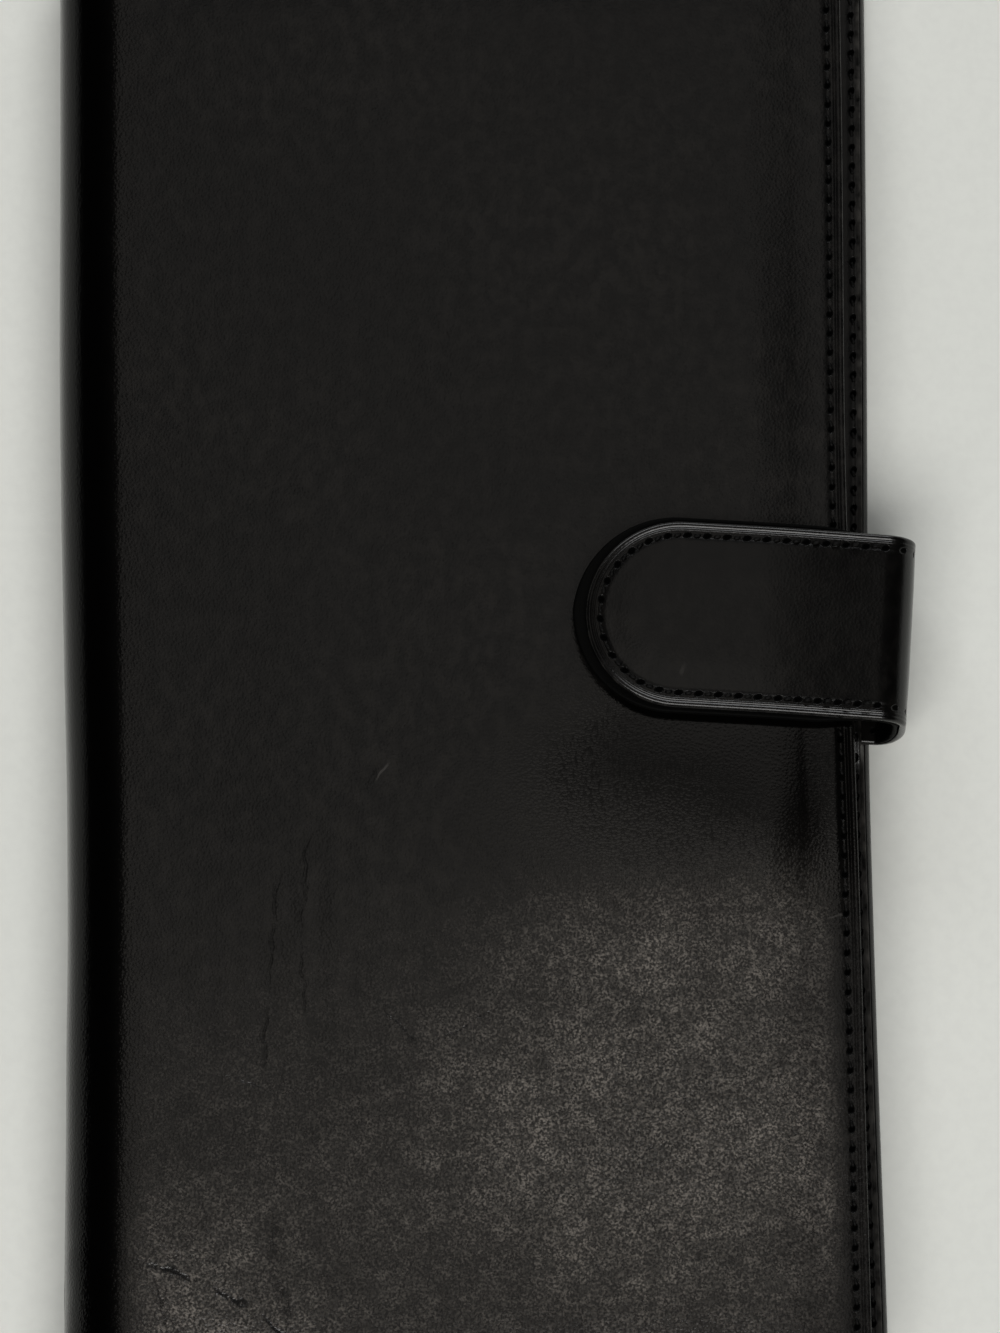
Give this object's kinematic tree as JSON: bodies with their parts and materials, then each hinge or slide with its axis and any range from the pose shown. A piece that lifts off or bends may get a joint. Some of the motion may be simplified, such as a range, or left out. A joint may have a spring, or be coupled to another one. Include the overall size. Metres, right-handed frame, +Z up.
{
  "type": "travel document wallet",
  "caption": "Long closed travel document wallet in black leather with a rolled spine, inner pockets and a round-ended strap with a magnetic snap.",
  "frame": {"origin": "middle of the closed wallet's base, on the surface that it lies on", "axes": "+X from the spine to the fore-edge, +Y along the spine, +Z up from the back cover to the front cover"},
  "size_m": [0.1324, 0.232, 0.0228],
  "materials": {
    "leather": "satin",
    "inner_leather": "satin",
    "lining": "matte",
    "board": "matte",
    "thread": "satin",
    "nickel": "satin",
    "magnet": "satin"
  },
  "bodies": {
    "back_cover": {"back_cover_leather": "leather", "back_board": "board", "back_lining": "lining", "back_seam_thread": "thread", "ticket_pocket": "inner_leather", "passport_pocket": "inner_leather", "pen_loop": "inner_leather", "strap_root": "leather"},
    "spine": {"spine_leather": "leather", "spine_lining": "lining"},
    "front_cover": {"front_cover_leather": "leather", "front_board": "board", "front_lining": "lining", "front_seam_thread": "thread", "currency_pocket": "inner_leather", "card_slot_1": "inner_leather", "card_slot_2": "inner_leather", "card_slot_3": "inner_leather", "card_slot_4": "inner_leather", "snap_socket_case": "nickel", "snap_magnet": "magnet", "snap_socket_washer": "nickel"},
    "strap": {"strap_leather": "leather", "strap_lining": "inner_leather"},
    "tab": {"tab_leather": "leather", "tab_lining": "inner_leather", "tab_seam_thread": "thread", "snap_stud_plate": "nickel", "snap_stud_washer": "nickel"}
  },
  "joints": [
    {"name": "spine_fold", "type": "hinge", "parent": "back_cover", "child": "spine", "pos_m": [-0.06423, 0, 0.002], "axis": [0, -1, 0], "range_deg": [0, 90]},
    {"name": "front_fold", "type": "hinge", "parent": "spine", "child": "front_cover", "pos_m": [-0.06423, 0, 0.0166], "axis": [0, -1, 0], "range_deg": [0, 90]},
    {"name": "strap_bend", "type": "hinge", "parent": "back_cover", "child": "strap", "pos_m": [0.06415, 0.00266, 0.00301], "axis": [0.0732, 0.9973, 0], "range_deg": [0, 90]},
    {"name": "tab_bend", "type": "hinge", "parent": "strap", "child": "tab", "pos_m": [0.06415, 0.00266, 0.02184], "axis": [0.0732, 0.9973, 0], "range_deg": [0, 90]}
  ],
  "couplings": [
    {"joint": "front_fold", "follows": "spine_fold", "ratio": 1}
  ]
}
